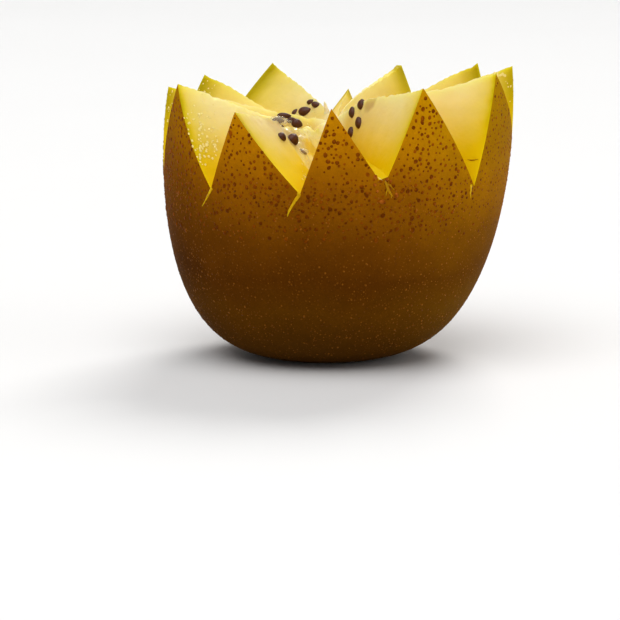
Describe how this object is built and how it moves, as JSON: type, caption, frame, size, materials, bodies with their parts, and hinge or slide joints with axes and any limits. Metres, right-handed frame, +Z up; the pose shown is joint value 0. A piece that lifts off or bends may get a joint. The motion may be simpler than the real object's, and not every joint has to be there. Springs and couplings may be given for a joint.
{
  "type": "golden kiwi fruit half",
  "caption": "Half of a golden kiwi fruit with thin speckled brown skin, cut round its middle in a zigzag crown that shows yellow flesh and dark seeds, standing on its flat end.",
  "frame": {"origin": "centre of the half fruit's own box, at the flat spot that it stands on", "axes": "+Z up from the stem end to the zigzag cut, -Y towards the side seen in the picture, +X to its right"},
  "size_m": [0.054, 0.052, 0.0449],
  "materials": {
    "kiwi_skin": "thin smooth amber to brown skin, soft satin",
    "kiwi_flesh": "wet translucent yellow flesh",
    "kiwi_seed": "dark brown, glossy and wet",
    "skin_spot": "dull corky brown",
    "stem_scar": "dry corky dark brown"
  },
  "bodies": {
    "root": {"golden_kiwi_half": "kiwi_skin"}
  },
  "joints": []
}
